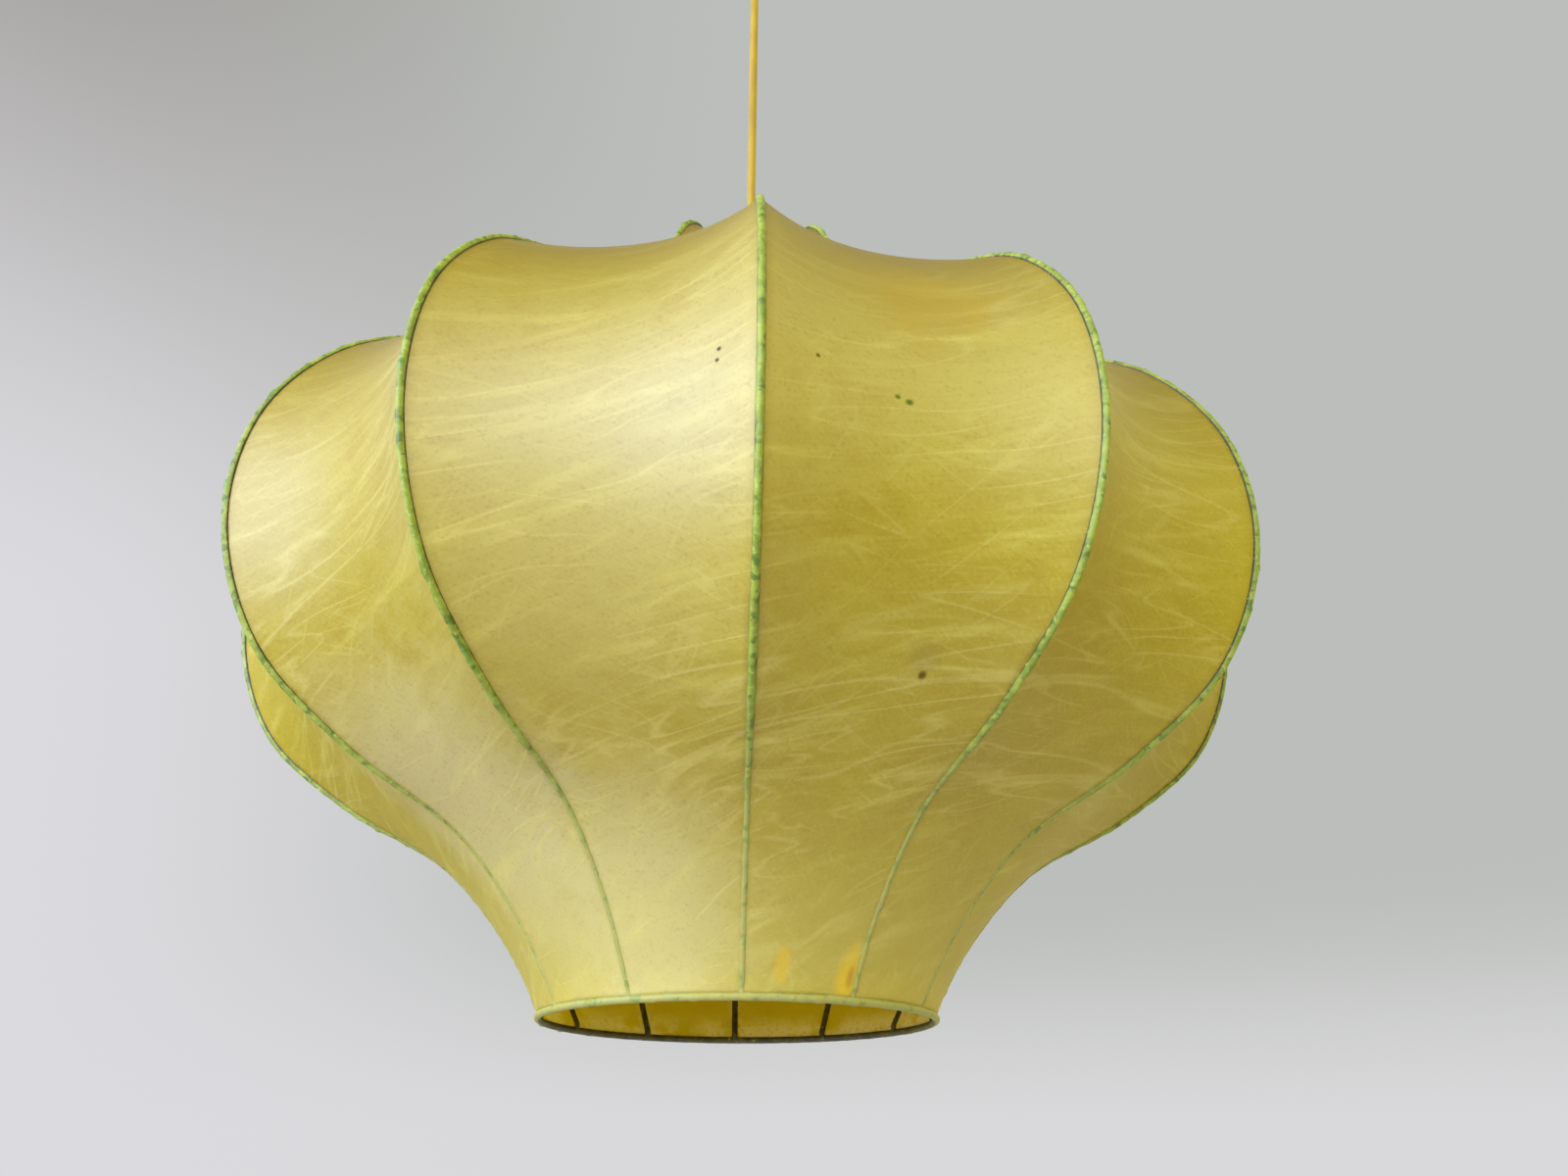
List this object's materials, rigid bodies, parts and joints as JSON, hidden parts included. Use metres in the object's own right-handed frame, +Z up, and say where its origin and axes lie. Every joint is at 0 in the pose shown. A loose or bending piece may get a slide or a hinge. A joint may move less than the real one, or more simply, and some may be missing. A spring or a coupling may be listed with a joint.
{
  "type": "cocoon pendant lamp",
  "caption": "Onion-shaped pendant lamp: wire ribs on two rings under a tight translucent sprayed film, hung by its lampholder on a flex from a ceiling cup.",
  "frame": {"origin": "middle of the ceiling fitting's flat face that lies against the ceiling; the lamp hangs below it", "axes": "+Z up along the flex and the lamp's axis; -Y towards the front, where rib 1 stands; +X to the right"},
  "size_m": [0.5428, 0.5428, 0.7967],
  "materials": {
    "film": "translucent sprayed film, satin, mottled with fine fibres",
    "coated_wire": "wire under a lumpy green coat",
    "zinc_steel": "zinc-plated steel, dull",
    "brass": "plain brass, slightly dulled",
    "solder": "solder, dull",
    "bakelite": "moulded, satin gloss",
    "ceramic": "unglazed white ceramic",
    "cream_plastic": "moulded, satin",
    "yellow_flex": "smooth round sheath, satin",
    "bulb_glass": "clear blown glass",
    "stem_glass": "clear lead glass",
    "tungsten": "dark drawn wire"
  },
  "bodies": {
    "ceiling": {"ceiling_plate": "zinc_steel", "plate_screw_1": "zinc_steel", "plate_screw_2": "zinc_steel", "ceiling_cup": "cream_plastic", "cup_screw_1": "zinc_steel", "cup_screw_2": "zinc_steel", "terminal_block": "ceramic", "terminal_screw_1": "brass", "terminal_screw_2": "brass", "flex_tail": "yellow_flex"},
    "bush": {"cup_bush": "cream_plastic", "bush_nut": "cream_plastic"},
    "pendant": {"rib_01": "coated_wire", "rib_02": "coated_wire", "rib_03": "coated_wire", "rib_04": "coated_wire", "rib_05": "coated_wire", "rib_06": "coated_wire", "rib_07": "coated_wire", "rib_08": "coated_wire", "rib_09": "coated_wire", "rib_10": "coated_wire", "rib_11": "coated_wire", "rib_12": "coated_wire", "bottom_ring": "coated_wire", "top_ring": "coated_wire", "skin_panel_01": "film", "skin_panel_02": "film", "skin_panel_03": "film", "skin_panel_04": "film", "skin_panel_05": "film", "skin_panel_06": "film", "skin_panel_07": "film", "skin_panel_08": "film", "skin_panel_09": "film", "skin_panel_10": "film", "skin_panel_11": "film", "skin_panel_12": "film", "holder_cap": "bakelite", "holder_skirt": "bakelite", "shade_ring": "bakelite", "top_plate": "zinc_steel", "grip_screw": "zinc_steel", "screw_shell": "brass", "centre_contact": "brass", "cord_grip": "cream_plastic", "ceramic_core": "ceramic", "flex_cord": "yellow_flex"},
    "bulb_carrier": {"bulb_tip": "solder"},
    "bulb": {"bulb_cap": "brass", "bulb_glass": "bulb_glass", "bulb_stem": "stem_glass", "bulb_filament": "tungsten"}
  },
  "joints": [
    {"name": "twist", "type": "hinge", "parent": "ceiling", "child": "bush", "pos_m": [0, 0, -0.06], "axis": [0, 0, 1], "range_deg": [-180, 180]},
    {"name": "sway", "type": "hinge", "parent": "bush", "child": "pendant", "pos_m": [0, 0, -0.06], "axis": [1, 0, 0], "range_deg": [-15, 15]},
    {"name": "bulb_travel", "type": "slide", "parent": "pendant", "child": "bulb_carrier", "axis": [0, 0, -1], "range_m": [0, 0.0091]},
    {"name": "bulb_turn", "type": "hinge", "parent": "bulb_carrier", "child": "bulb", "pos_m": [0, 0, -0.45], "axis": [0, 0, -1], "range_deg": [0, 900]}
  ],
  "couplings": [
    {"joint": "bulb_travel", "follows": "bulb_turn", "m_per_rad": 0.000577}
  ]
}
